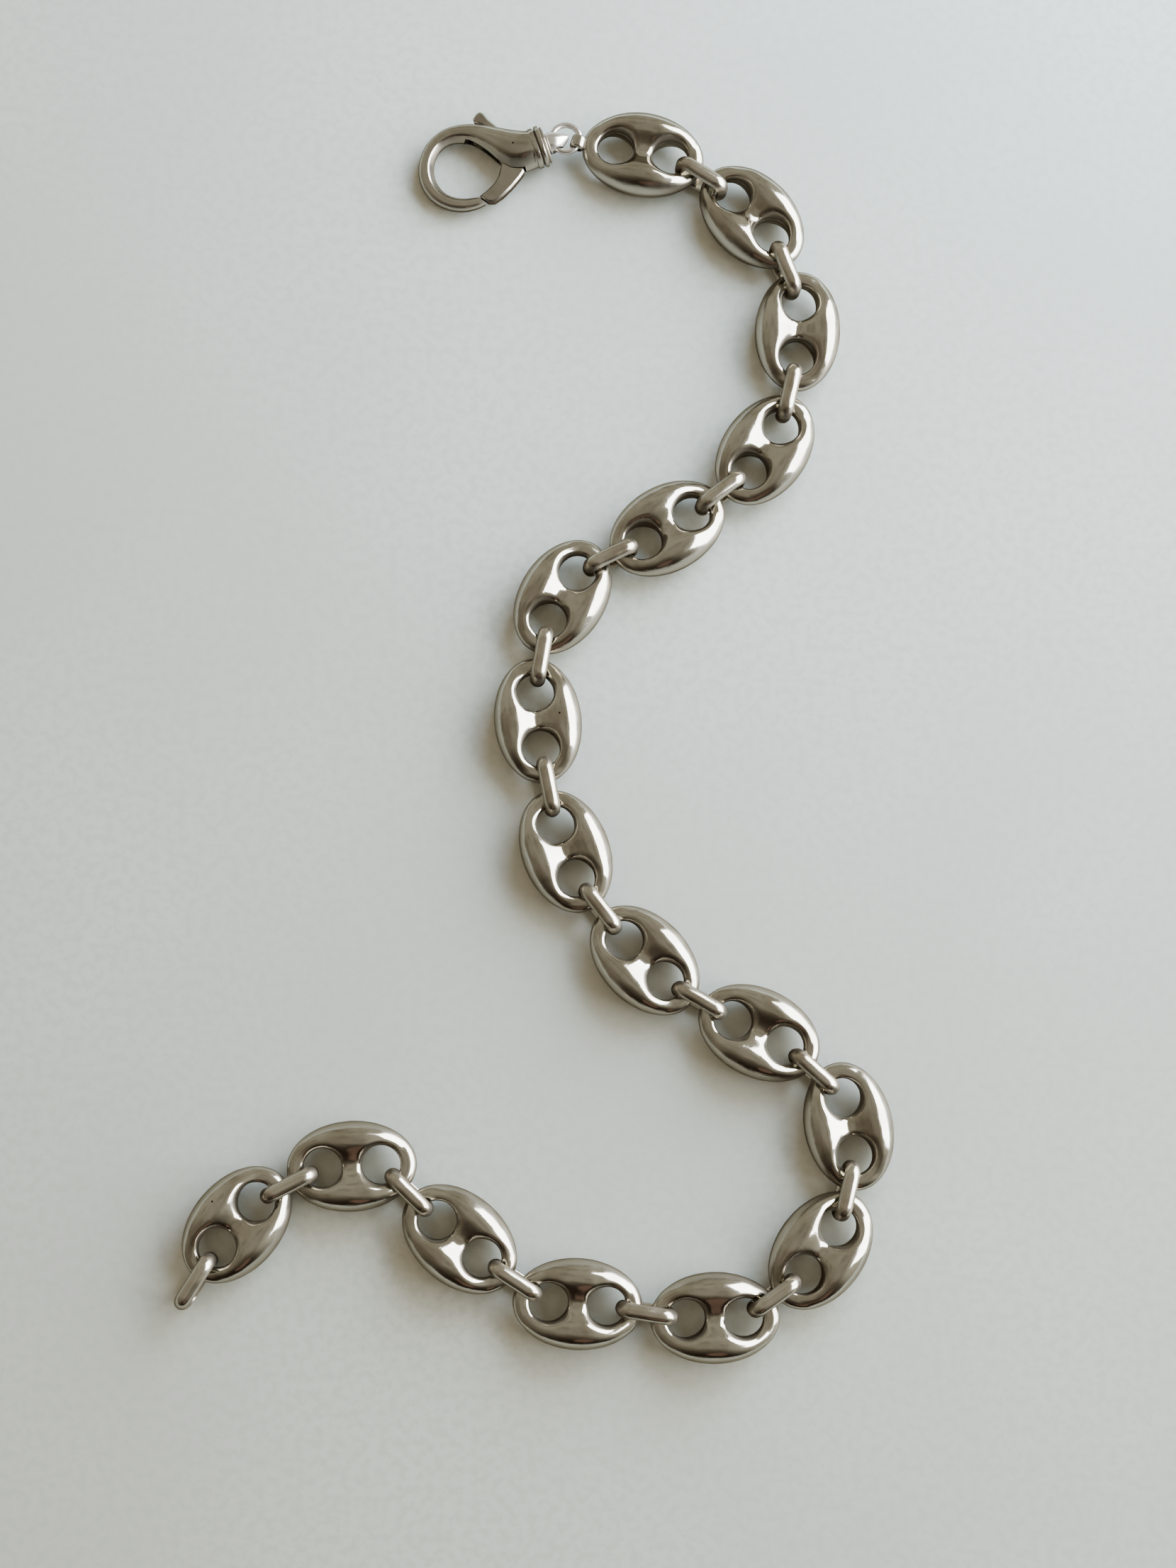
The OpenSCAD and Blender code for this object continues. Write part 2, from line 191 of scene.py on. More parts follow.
# Lost-wax casting, filed and buffed, so it gives the eye a soft sheen with a few clear lights
CAST_SILVER = silver("buffed silver casting, clasp", "#bebbb0", "#aba69a", "#a29a8c", 0.11, 0.22, 0.8, 2.6)
# Drawn wire, the newest and palest metal, so it gives the eye almost white lights
WIRE_SILVER = silver("bright silver wire", "#fbfaf8", "#f0eeea", "#d8d3cb", 0.18, 0.28, 0.6, 4.15)
print(f"{LINK_SILVER.name}: {len(LINK_SILVER.node_tree.nodes)} nodes, patches about {PATCH} mm wide")

# %% [markdown]
# From arrays to objects
#
# Each piece of the real chain is one closed body of metal. It could be built from Blender's own cubes and
# cylinders, but their sizes would then hide in many small edits. A surface made as a grid of points was
# chosen: grids are joined along shared edges by welding points that coincide, and every piece ends as one
# closed mesh whose normals point outwards. Where bodies are cut or joined, Boolean modifiers do it.

# %% Helpers that make, weld and place meshes
WELD = 0.004
THIN = 0.002


def grid_faces(rows, columns, wrap_rows=False, wrap_columns=False):
    """Quads of a grid of points stored row by row."""
    i = np.arange(rows if wrap_rows else rows - 1)[:, None]
    j = np.arange(columns if wrap_columns else columns - 1)[None, :]
    near, far = i * columns, (i + 1) % rows * columns
    left, right = j, (j + 1) % columns
    corners = (near + left, near + right, far + right, far + left)
    return np.stack([c.ravel() for c in np.broadcast_arrays(*corners)], axis=1)


def as_mesh(name, points, faces):
    """A mesh from points in millimetres and lists of faces, welded, with normals outwards."""
    mesh = bpy.data.meshes.new(name)
    mesh.from_pydata((np.asarray(points) * MM).tolist(), [], [list(f) for f in faces])
    work = bmesh.new()
    work.from_mesh(mesh)
    bmesh.ops.remove_doubles(work, verts=work.verts, dist=WELD * MM)
    bmesh.ops.dissolve_degenerate(work, edges=work.edges, dist=THIN * MM)
    bmesh.ops.recalc_face_normals(work, faces=work.faces)
    work.to_mesh(mesh)
    work.free()
    return mesh


def as_object(name, mesh, material=None, sharp=50):
    """An object at the origin, shaded smooth except across edges sharper than an angle in degrees."""
    piece = bpy.data.objects.new(name, mesh)
    bpy.context.scene.collection.objects.link(piece)
    if material:
        mesh.materials.append(material)
    mesh.polygons.foreach_set("use_smooth", [True] * len(mesh.polygons))
    mesh.set_sharp_from_angle(angle=np.radians(sharp))
    return piece


def carved(name, base, changes, material, sharp=50):
    """A new piece from a base mesh and a row of (operation, mesh), each applied in turn."""
    piece = as_object(name, base)
    helpers = []
    for operation, mesh in changes:
        helper = as_object(name + "_helper", mesh)
        helpers.append(helper)
        change = piece.modifiers.new(operation, "BOOLEAN")
        change.operation = operation
        change.solver = "EXACT"
        change.object = helper
    bpy.context.view_layer.update()
    result = bpy.data.meshes.new_from_object(piece.evaluated_get(bpy.context.evaluated_depsgraph_get()))
    for made in (*helpers, piece):
        bpy.data.objects.remove(made)
    result.materials.clear()
    return as_object(name, result, material, sharp)


def keep(piece, body, slot, *nodes):
    """Say which body a piece rides on and which CAD nodes it stands for; the material slot is not used."""
    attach(piece, body)
    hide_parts(*nodes)


def turned(heading, pitch=0.0):
    """Rotation about y by pitch, then about z by heading, in degrees."""
    about_z = Matrix.Rotation(np.radians(heading), 3, "Z")
    about_y = Matrix.Rotation(np.radians(pitch), 3, "Y")
    return np.array(about_z @ about_y)


def placed(points, turn, at):
    """Points turned about the origin, and then moved by at."""
    return np.asarray(points) @ turn.T + np.asarray(at)


print(f"Points closer than {WELD} mm are welded into one")

# %% [markdown]
# How the chain lies
#
# The real chain was laid down in an open S, and every link found its own heading. A rope simulation could
# drop it, but it wouldn't fall as in the photo. A walk was chosen, because each heading can be read from the
# photo: it starts at the link by the clasp, steps from a link's middle to its far hole, across the ring to
# the next link's near hole, and on to that link's middle.

# %% Walk along the chain, a row for each link and the ring after it
LINK_LENGTH = 22.4
LINK_WIDTH = 15.5
LINK_THICKNESS = 7.6
BAR_THICKNESS = 3.0
HOLE_R = 6.74 / 2
HOLE_X = 10.04 / 2
HEADING = 0
RING_HEADING = 1
HOLE_GAP = 2
LIE = np.array([  # the link's heading, its ring's heading, and the way from hole to hole across the ring
    [-9, -32, 13.5],
    [-46, -69, 13.8],
    [-93, -103, 13.4],
    [-125, -143, 13.2],
    [-149, -154, 13.2],
    [-121, -100, 13.3],
    [-84, -79, 13.8],
    [-69, -52, 13.8],
    [-45, -30, 13.8],
    [-26, -42, 13.5],
    [-79, -104, 12.7],
    [-127, -145, 12.7],
    [-179, -189, 13.8],
    [-184, -213, 13.7],
    [-220, -224, 13.6],
    [-177, -153, 12.7],
    [-130, -122, 13.2]])
CHAIN_START = np.array([18.698, 104.318])


def along(angle):
    """The unit vector of a heading in degrees."""
    return np.array([np.cos(np.radians(angle)), np.sin(np.radians(angle))])


link_at = [CHAIN_START]
for here, there in zip(LIE[:-1], LIE[1:]):
    step = HOLE_X * (along(here[HEADING]) + along(there[HEADING]))
    link_at.append(link_at[-1] + step + here[HOLE_GAP] * along(here[RING_HEADING]))
ring_at = [p + HOLE_X * along(row[HEADING]) + row[HOLE_GAP] / 2 * along(row[RING_HEADING])
           for p, row in zip(link_at, LIE)]
print(f"{len(link_at)} links, from {np.round(link_at[0], 1)} to {np.round(link_at[-1], 1)} mm")

# %% [markdown]
# The puffed link
#
# Seen from above, a link is an ellipse with two round holes. A crest runs round it at a fixed distance from
# the line that joins the holes' centres. The height falls from the crest to the saddle on the inside, and
# round to the seam on the outside. A small quarter round lip turns down into each hole. The real link is two
# pressed halves soldered at the seam. Subdividing a box could give its shape roughly; formulas were chosen,
# because crest, saddle and lip then each keep a size that can be named.

# %% The link's surface, one quarter of it as a grid
CREST = 4.4
CREST_RUN = 9.1
CREST_POWER = 1.3
SADDLE = 0.5
LIP_HEIGHT = 0.8
LIP_WIDTH = 1.2
SEAM_HEIGHT = 0.09
SEAM_DEPTH = 0.07
BRIDGE_POINTS = 9
ARC_POINTS = 13
FAN_POINTS = 19
INSIDE_POINTS = 12
OUTSIDE_POINTS = 17
WALL_SHARES = np.array([1, 0.8, 0.6, 0.4, 0.2, 0, 0])  # of the rim's height, a row each, down to the seam
WALL_LIFTS = np.array([0, 0, 0, 0, 0, 1.0, 0]) * SEAM_HEIGHT


def crest_height(x):
    """Half thickness along the crest: end + (middle - end) (1 - (x / run)^2)^power."""
    end, middle = BAR_THICKNESS / 2, LINK_THICKNESS / 2
    return end + (middle - end) * np.clip(1 - (x / CREST_RUN) ** 2, 0, 1) ** CREST_POWER


def top_height(x, s, reach, from_wall):
    """Half thickness at s from the holes' line, with the outline at reach: the crest's height, times a cosine
    down to the saddle inside it, times a quarter ellipse down to the seam outside it, less a hole's lip."""
    saddle = 1 - SADDLE * (0.5 + 0.5 * np.cos(np.pi * np.clip(s / CREST, 0, 1)))
    outer = np.sqrt(1 - np.clip((s - CREST) / (reach - CREST), 0, 1) ** 2)
    lip = LIP_HEIGHT * (1 - np.sqrt(1 - (1 - np.clip(from_wall / LIP_WIDTH, 0, 1)) ** 2))
    return crest_height(x) * saddle * outer - lip * (s < CREST + LIP_WIDTH)


def eased(count):
    """Numbers from 0 to 1, closer together towards 1: the sine of even steps to 90 degrees."""
    return np.sin(np.linspace(0, np.pi / 2, count))


def quarter_link():
    """The top of the quarter with x and y positive, and the wall of its hole down to the seam. Rays leave
    the holes' line straight across, and fan out round the hole's centre at the end. On each, s runs from the
    hole to the crest, and on to the outline, where (x / a)^2 + (y / b)^2 = 1."""
    bridge = (HOLE_X - HOLE_R) * eased(BRIDGE_POINTS)
    arc = HOLE_X - HOLE_R * np.cos(np.linspace(0, np.pi / 2, ARC_POINTS)[1:])
    fan = np.linspace(np.pi / 2, 0, FAN_POINTS)[1:]
    straight_x = np.concatenate([bridge, arc])
    n_straight = len(straight_x)
    x0 = np.concatenate([straight_x, np.full(len(fan), HOLE_X)])
    way = np.concatenate([np.full(n_straight, np.pi / 2), fan])
    hole_y = np.sqrt(np.clip(HOLE_R ** 2 - (HOLE_X - straight_x) ** 2, 0, None))
    inner = np.concatenate([hole_y, np.full(len(fan), HOLE_R)])
    a, b = LINK_LENGTH / 2, LINK_WIDTH / 2
    p = (np.cos(way) / a) ** 2 + (np.sin(way) / b) ** 2
    q = x0 * np.cos(way) / a ** 2
    reach = (np.sqrt(q * q - p * ((x0 / a) ** 2 - 1)) - q) / p
    inside = -eased(INSIDE_POINTS)[::-1]
    outside = eased(OUTSIDE_POINTS)[1:]
    share = np.concatenate([inside, outside])[None, :]
    span = np.where(share < 0, (CREST - inner)[:, None], (reach - CREST)[:, None])
    s = CREST + share * span
    x = x0[:, None] + s * np.cos(way)[:, None]
    y = s * np.sin(way)[:, None]
    from_wall = np.hypot(x - HOLE_X, y) - HOLE_R
    z = top_height(x, s, reach[:, None], from_wall)
    z[:, -1] = 0
    top = np.stack([x, y, z], axis=2)
    rim = top[len(bridge) - 1:, 0]
    wall_z = rim[:, 2:3] * WALL_SHARES + WALL_LIFTS
    out = rim[:, :2] - np.array([HOLE_X, 0])
    grow = 1 + (WALL_SHARES + WALL_LIFTS == 0) * SEAM_DEPTH / HOLE_R
    wall_xy = np.array([HOLE_X, 0]) + out[:, None, :] * grow[None, :, None]
    wall = np.concatenate([wall_xy, wall_z[:, :, None]], axis=2)
    return top, wall


TOP, WALL = quarter_link()
MIRRORS = [np.array([x, y, z]) for x in (1, -1) for y in (1, -1) for z in (1, -1)]


def puffed_link(k):
    """Points and faces of link k: the quarter mirrored eight ways, turned and set in its place."""
    points, faces, count = [], [], 0
    for mirror in MIRRORS:
        for patch in (TOP, WALL):
            points.append((patch * mirror).reshape(-1, 3))
            quads = grid_faces(*patch.shape[:2])
            faces.append((quads if mirror.prod() > 0 else quads[:, ::-1]) + count)
            count += patch.shape[0] * patch.shape[1]
    at = [*link_at[k], LINK_THICKNESS / 2]
    return placed(np.concatenate(points), turned(LIE[k, HEADING]), at), np.concatenate(faces)


for k in range(1, len(LIE)):
    name = f"link_{k + 1:02d}"
    link = as_object("puffed_" + name, as_mesh(name, *puffed_link(k)), LINK_SILVER)
    keep(link, "chain", "link_silver", name)
print(f"A puffed link has {len(link.data.vertices)} points, and is {LINK_LENGTH} mm long")

# %% [markdown]
# Round things
#
# Wire, band and turned parts are all one section carried round or along a path. A curve with a bevel could
# do it too, but the section's corners would be lost, so the points are worked out here.

# %% Helpers for swept and revolved pieces
ROD_STEPS = 48


def swept(section, frames):
    """A closed band: each point of the section, (a, b), stands at centre + a out + b side of every frame,
    (centre, out, side), of a loop."""
    centre, out, side = (np.array([f[i] for f in frames])[:, None, :] for i in range(3))
    points = centre + section[None, :, :1] * out + section[None, :, 1:] * side
    return points.reshape(-1, 3), grid_faces(len(frames), len(section), True, True)


def revolved(profile, steps=64):
    """A closed body turned about x from rows of (x, radius) that begin and end on the axis: y is the radius
    times the angle's cosine, and z the radius times its sine."""
    profile = np.asarray(profile, dtype=float)
    angle = np.linspace(0, 2 * np.pi, steps, endpoint=False)
    x = np.repeat(profile[:, :1], steps, axis=1)
    y = profile[:, 1:] * np.cos(angle)
    z = profile[:, 1:] * np.sin(angle)
    points = np.stack([x, y, z], axis=2).reshape(-1, 3)
    return points, grid_faces(len(profile), steps, False, True)


def rod(radius, start, end):
    """A plain rod along x."""
    return revolved([[start, 0], [start, radius], [end, radius], [end, 0]], ROD_STEPS)


print(f"A plain rod has {len(rod(1, 0, 1)[0])} points")

# %% [markdown]
# The upright rings
#
# Between two links stands a ring bent from half round band, flat side inwards, and soldered shut. A scaled
# torus could stand in for it, but it would lose the flat inside and the straight sides, so the band's section
# is carried round four corners, and the straight sides are what joins them.

# %% The upright rings: a half round band, flat side inwards
RING_LENGTH = 10.7
RING_HEIGHT = 7.8
BAND_R = 1.4
CORNER = 2.8
EDGE = 0.25
INNER_EDGE = np.array([[0.05, 1.3], [0, 1.1], [0, 0], [0, -1.1], [0.05, -1.3]])  # outwards and sideways
BAND_POINTS = 23
CORNER_STEPS = 13
RING_SHARP = 60
FREE_PITCH = 6
reach = RING_LENGTH / 2 - CORNER
rise = RING_HEIGHT / 2 - CORNER

round_start = np.arcsin(EDGE / BAND_R)
arc = np.linspace(-np.pi / 2 + round_start, np.pi / 2 - round_start, BAND_POINTS)
band = np.concatenate([np.stack([BAND_R * np.cos(arc), BAND_R * np.sin(arc)], axis=1), INNER_EDGE])

ring_path = []
for quarter in range(4):
    corner_x = reach if quarter in (0, 3) else -reach
    corner_z = rise if quarter < 2 else -rise
    for angle in np.radians(90 * quarter + np.linspace(0, 90, CORNER_STEPS)):
        way = np.array([np.cos(angle), 0, np.sin(angle)])
        middle = np.array([corner_x, 0, corner_z]) + (CORNER - BAND_R) * way
        ring_path.append((middle, way, np.array([0, 1.0, 0])))
ring_shape, ring_faces = swept(band, ring_path)

for k, row in enumerate(LIE):
    pitch = FREE_PITCH if k == len(LIE) - 1 else 0
    lift = RING_HEIGHT / 2 + reach * np.sin(np.radians(pitch)) - rise * (1 - np.cos(np.radians(pitch)))
    shape = placed(ring_shape, turned(row[RING_HEADING], pitch), [*ring_at[k], lift])
    name = f"ring_{k + 1:02d}"
    ring = as_object("upright_" + name, as_mesh(name, shape, ring_faces), RING_SILVER, RING_SHARP)
    keep(ring, "chain", "ring_silver", name)
print(f"{len(LIE)} upright rings, each {RING_LENGTH} mm long and {RING_HEIGHT} mm high")

# %% [markdown]
# The jump ring, and the loop on the first link
#
# A plain round wire ring ties the swivel to a short loop of tube that is soldered on the first link. Loop and
# link could be left as two meshes that cross. They are one soldered body, so the tube is joined to the link
# and then drilled, halfway into the wire's bend so that the wire passes freely.

# %% The jump ring, and the loop soldered on the first link
JUMP_R = 2.55
WIRE_R = 1.05 / 2
JUMP_HEIGHT = 4.15
BAIL_LEAD = 3.25
BAIL_R = 1.4
BAIL_HOLE_R = 0.9
BAIL_WIDTH = 2.4
BAIL_ROUND = 0.5
BAIL_HEADING = 160.7
WIRE_POINTS = 24
JUMP_STEPS = 72
ROUND_POINTS = 9
link_end = link_at[0] - LINK_LENGTH / 2 * along(LIE[0, HEADING])
jump_at = np.array([*(link_end + BAIL_LEAD * along(BAIL_HEADING)), JUMP_HEIGHT])

round_way = np.linspace(0, 2 * np.pi, WIRE_POINTS + 1)[:-1]
wire = WIRE_R * np.stack([np.cos(round_way), np.sin(round_way)], axis=1)
turns = np.linspace(0, 2 * np.pi, JUMP_STEPS + 1)[:-1]
jump_path = [(JUMP_R * np.array([np.cos(t), np.sin(t), 0]), np.array([np.cos(t), np.sin(t), 0]),
              np.array([0, 0, 1.0])) for t in turns]
jump_shape, jump_faces = swept(wire, jump_path)
jump = as_object("round_jump_ring", as_mesh("jump_ring", jump_shape + jump_at, jump_faces), WIRE_SILVER)
keep(jump, "chain", "ring_silver", "jump_ring")


def wire_bend(width):
    """How far the jump ring's wire bends over a width: R - sqrt(R^2 - (width / 2)^2)."""
    return JUMP_R - np.sqrt(JUMP_R ** 2 - (width / 2) ** 2)


def bail_tube(radius, width, rounding=0.0):
    """A rod across the chain, where the jump ring's wire crosses the first link's loop. Its ends are rounded
    by quarter circles: radius - rounding (1 - cos(a)) at width / 2 - rounding (1 - sin(a))."""
    turn = np.linspace(0, np.pi / 2, ROUND_POINTS)
    end = np.column_stack([
        width / 2 - rounding * (1 - np.sin(turn)), radius - rounding * (1 - np.cos(turn))])
    profile = np.vstack([[-width / 2, 0], end[::-1] * [-1, 1], end, [width / 2, 0]])
    points, faces = revolved(profile, ROD_STEPS)
    at = jump_at[:2] + (JUMP_R - wire_bend(BAIL_WIDTH) / 2) * along(BAIL_HEADING - 180)
    return placed(points, turned(BAIL_HEADING - 90), [*at, JUMP_HEIGHT]), faces


first = carved("puffed_link_01", as_mesh("link_01", *puffed_link(0)), [
    ("UNION", as_mesh("bail", *bail_tube(BAIL_R, BAIL_WIDTH, BAIL_ROUND))),
    ("DIFFERENCE", as_mesh("bail_hole", *bail_tube(BAIL_HOLE_R, 2 * BAIL_WIDTH)))], LINK_SILVER)
keep(first, "chain", "link_silver", "link_01")
print(f"The first link with its loop has {len(first.data.vertices)} points")

# %% [markdown]
# The lobster clasp
#
# It is drawn in a frame of its own: the origin in the middle of the eye, x towards the swivel, y towards
# the thumb tab. The swivel's axis is level with the jump ring, and the hook dips to the surface. It could
# be modelled where it lies, but flat and straight its sizes can be read off, and one turn sets it in place.

# %% Where the clasp lies
CLASP_HEADING = 19.2
CLASP_DIP = 5.7
AXIS_Y = -0.95
WIRE_X = 16.68
swivel_at = jump_at - JUMP_R * np.array([*along(CLASP_HEADING), 0])
clasp_turn = turned(CLASP_HEADING, -CLASP_DIP)


def on_clasp(points):
    """Points of the clasp's own frame, set in place."""
    return placed(np.asarray(points) - np.array([WIRE_X, AXIS_Y, 0]), clasp_turn, swivel_at)


def smooth(rows, steps):
    """More rows between the given ones, on a Catmull-Rom curve through all of them."""
    rows = np.asarray(rows, dtype=float)
    padded = np.vstack([2 * rows[0] - rows[1], rows, 2 * rows[-1] - rows[-2]])
    before, here, there, after = padded[:-3], padded[1:-2], padded[2:-1], padded[3:]
    t = np.linspace(0, 1, steps, endpoint=False)[None, :, None]
    before, here, there, after = (r[:, None, :] for r in (before, here, there, after))
    curve = 0.5 * (2 * here + (there - before) * t + (2 * before - 5 * here + 4 * there - after) * t ** 2
                   + (3 * here - before - 3 * there + after) * t ** 3)
    return np.vstack([curve.reshape(-1, rows.shape[1]), rows[-1:]])


print(f"The clasp hangs on the swivel at {np.round(swivel_at, 1)} mm")

# %% [markdown]
# The hook and body
#
# The real one is cast in wax form, thin at the hook's tip and as thick as a bean by the collar. A bevelled
# curve could follow it, but with one section only. A row for each section was chosen, so that width, height
# and way change together, with a bevel along the eye's inner edge as in the photo.

# %% The hook and body, a row for each section from the hook's tip round to the collar
HOOK = [  # outer edge x and y, inner edge x and y, and the height of the section
    [1.3, -7.75, 0.5, -6.0, 2.2],
    [-0.3, -7.95, -0.4, -5.75, 2.6],
    [-2.6, -7.7, -1.9, -5.35, 2.8],
    [-5.0, -6.65, -3.6, -4.5, 2.9],
    [-7.1, -4.7, -4.9, -3.15, 3.0],
    [-8.35, -2.3, -5.6, -1.5, 3.1],
    [-8.65, 0.5, -5.75, 0.4, 3.2],
    [-7.9, 3.3, -5.2, 2.4, 3.3],
    [-6.2, 5.75, -4.0, 4.0, 3.4],
    [-4.0, 7.35, -2.5, 4.95, 3.5],
    [-1.4, 8.15, -0.9, 5.2, 3.7],
    [1.2, 8.05, 0.8, 4.75, 4.1],
    [3.6, 7.4, 2.5, 3.7, 4.7],
    [5.7, 6.5, 3.9, 2.1, 5.3],
    [7.6, 5.35, 5.0, 0.3, 5.8],
    [9.3, 4.35, 6.1, -1.7, 6.3],
    [10.5, 3.65, 7.8, -3.6, 6.7],
    [11.5, 3.1, 9.8, -4.35, 7.0],
    [12.4, 2.65, 11.9, -4.4, 7.1],
    [13.3, 2.3, 13.3, -4.2, 7.0]]
HOOK_STEPS = 6
SIDES = 40
SQUARENESS = 0.9
RIDGE_AT = 0.4
RIDGE_DROP = 0.45


def on_axis(shape):
    """A revolved shape moved to the swivel's axis."""
    points, faces = shape
    return points + np.array([0, AXIS_Y, 0]), faces


def clasp_mesh(name, shape):
    """A mesh of a shape of the clasp's own frame, set in place."""
    points, faces = shape
    return as_mesh(name, on_clasp(points), faces)


def hook_body():
    """Rounded ovals, across by cos(a)^n and up by sin(a)^n, with a bevel along the inner edge."""
    rows = smooth(HOOK, HOOK_STEPS)
    angle = 2 * np.pi * (np.arange(SIDES) + 0.5) / SIDES
    across = np.sign(np.cos(angle)) * np.abs(np.cos(angle)) ** SQUARENESS
    up = np.sign(np.sin(angle)) * np.abs(np.sin(angle)) ** SQUARENESS
    up = up * (1 - RIDGE_DROP * np.clip((-RIDGE_AT - across) / (1 - RIDGE_AT), 0, 1))
    outer, inner, height = rows[:, None, 0:2], rows[:, None, 2:4], rows[:, 4:]
    flat = (outer + inner) / 2 + across[None, :, None] * (outer - inner) / 2
    points = np.concatenate([flat, (up * height / 2)[:, :, None]], axis=2)
    faces = grid_faces(len(rows), SIDES, False, True).tolist()
    last = (len(rows) - 1) * SIDES
    ends = [list(range(SIDES)), list(range(last, last + SIDES))[::-1]]
    return points.reshape(-1, 3), faces + ends


hook_mesh = clasp_mesh("hook", hook_body())
print(f"The hook's mesh has {len(hook_mesh.vertices)} points")

# %% [markdown]
# The collar, the slot and the pin
#
# The collar is turned with two ridges, the slot for the lever is milled, and the pin is riveted through. All
# could be modelled as one skin. Cutting and joining in the maker's order was chosen, since it gives the same
# crisp edges and each tool keeps its own size.

# %% Turn the collar, mill the slot, drill the bore and set the pin
COLLAR = [  # distance along the axis, and radius
    [12.5, 3.3], [12.8, 3.4], [13.0, 3.65], [13.75, 3.65], [13.9, 3.2], [14.05, 3.2],
    [14.2, 3.75], [14.8, 3.75], [14.95, 3.25], [15.1, 3.25], [15.2, 3.4], [15.4, 3.35], [15.5, 3.1]]
TURNED_STEPS = 4
COLLAR_SIDES = 80
POST_R = 1.2
HEAD_R = 2.1
HEAD = (13.0, 14.1)
EYE_FROM = 15.65
BORE_END = 17.0
RUNNING = 0.15
LEVER = 2.2
LEVER_PLAY = 0.2
PIVOT = np.array([8.6, -1.0])
PIN_R = 0.8
PIN_HOLD = 0.5
PIN_STEPS = 40
CLASP_SHARP = 35
SLOT = [[0.9, 4.2], [2.4, 5.2], [3.3, 6.2], [3.3, 10.5], [10.9, 10.5], [10.8, 4.0], [11.0, 1.0],
        [10.4, -2.0], [10.4, -9.0], [3.5, -9.0], [0.5, -2.0]]


def prism(outline, height):
    """A flat plate with a given outline, centred on z = 0."""
    outline = np.asarray(outline)
    count = len(outline)
    levels = (-height / 2, height / 2)
    points = np.concatenate([np.column_stack([outline, np.full(count, z)]) for z in levels])
    sides = [[i, (i + 1) % count, (i + 1) % count + count, i + count] for i in range(count)]
    return points, sides + [list(range(count))[::-1], list(range(count, 2 * count))]


def inset(outline, distance):
    """The outline moved inwards by a distance, each corner along the mean of its two edges' normals."""
    outline = np.asarray(outline, dtype=float)
    edge = np.roll(outline, -1, axis=0) - outline
    normal = np.column_stack([-edge[:, 1], edge[:, 0]]) / np.linalg.norm(edge, axis=1)[:, None]
    before = np.roll(normal, 1, axis=0)
    return outline + distance * (normal + before) / (1 + (normal * before).sum(axis=1))[:, None]


def bevelled(outline, height, bevel):
    """A plate whose upper and lower edges are bevelled; its outline runs anticlockwise."""
    small = inset(outline, bevel)
    half = height / 2
    levels = ((small, -half), (outline, bevel - half), (outline, half - bevel), (small, half))
    rings = [np.column_stack([flat, np.full(len(flat), z)]) for flat, z in levels]
    count = len(small)
    faces = grid_faces(4, count, False, True).tolist()
    return np.concatenate(rings), faces + [list(range(count))[::-1], list(range(3 * count, 4 * count))]


def upright(radius, height):
    """A rod through the lever's pivot."""
    angle = np.linspace(0, 2 * np.pi, PIN_STEPS, endpoint=False)
    return prism(PIVOT + radius * np.column_stack([np.cos(angle), np.sin(angle)]), height)


play = LEVER + 2 * LEVER_PLAY
collar = np.vstack([[COLLAR[0][0], 0], smooth(COLLAR, TURNED_STEPS), [COLLAR[-1][0], 0]])
head_room = rod(HEAD_R + RUNNING, HEAD[0] - RUNNING, HEAD[1] + RUNNING)
body = carved("lobster_body", hook_mesh, [
    ("UNION", clasp_mesh("collar", on_axis(revolved(collar, COLLAR_SIDES)))),
    ("DIFFERENCE", clasp_mesh("slot", prism(SLOT, play))),
    ("DIFFERENCE", clasp_mesh("bore", on_axis(rod(POST_R + RUNNING, HEAD[0], BORE_END)))),
    ("DIFFERENCE", clasp_mesh("head_room", on_axis(head_room))),
    ("UNION", clasp_mesh("pin", upright(PIN_R, play + 2 * PIN_HOLD)))], CAST_SILVER, CLASP_SHARP)
keep(body, "clasp", "clasp_silver", "clasp_body")
print(f"The clasp's body has {len(body.data.vertices)} points, and its slot is {play} mm wide")

# %% [markdown]
# The lever
#
# One flat piece is the gate that closes the eye, the arm in the slot and the tab for the thumb. It could be
# a curve filled and extruded. An outline and a bevel worked out from it were chosen, because the filed edge
# of the real lever catches the light as a thin line.

# %% The lever: the gate, the arm in the slot, and the thumb tab
GATE = [[0.85, -6.1], [1.9, -7.65], [3.0, -8.05], [4.8, -7.55], [6.8, -6.6], [8.8, -5.4],
        [9.9, -4.6], [10.1, -3.6], [10.0, -1.2], [9.4, 1.6], [8.0, 5.3], [7.0, 7.0], [6.45, 8.5],
        [5.9, 8.9], [5.15, 8.7], [4.35, 8.1], [4.35, 7.4], [6.3, 5.6], [6.7, 2.4], [6.5, 0.4],
        [6.5, -1.8], [5.3, -3.65], [4.1, -4.75], [2.45, -5.55]]
BORE_PLAY = 0.12
BEVEL = 0.3

lever = carved("lobster_lever", clasp_mesh("gate", bevelled(GATE, LEVER, BEVEL)), [
    ("DIFFERENCE", clasp_mesh("pin_bore", upright(PIN_R + BORE_PLAY, 2 * LEVER)))], CAST_SILVER, CLASP_SHARP)
keep(lever, "lever", "clasp_silver", "clasp_lever")
print(f"The lever is {LEVER} mm thick, with {LEVER_PLAY} mm free on each side")

# %% [markdown]
# The swivel
#
# A headed post turns in the collar, and ends in an egg-shaped eye for the jump ring. It could be a sphere on
# a rod. One outline turned on a lathe and then drilled across was chosen, as the real one is made that way.

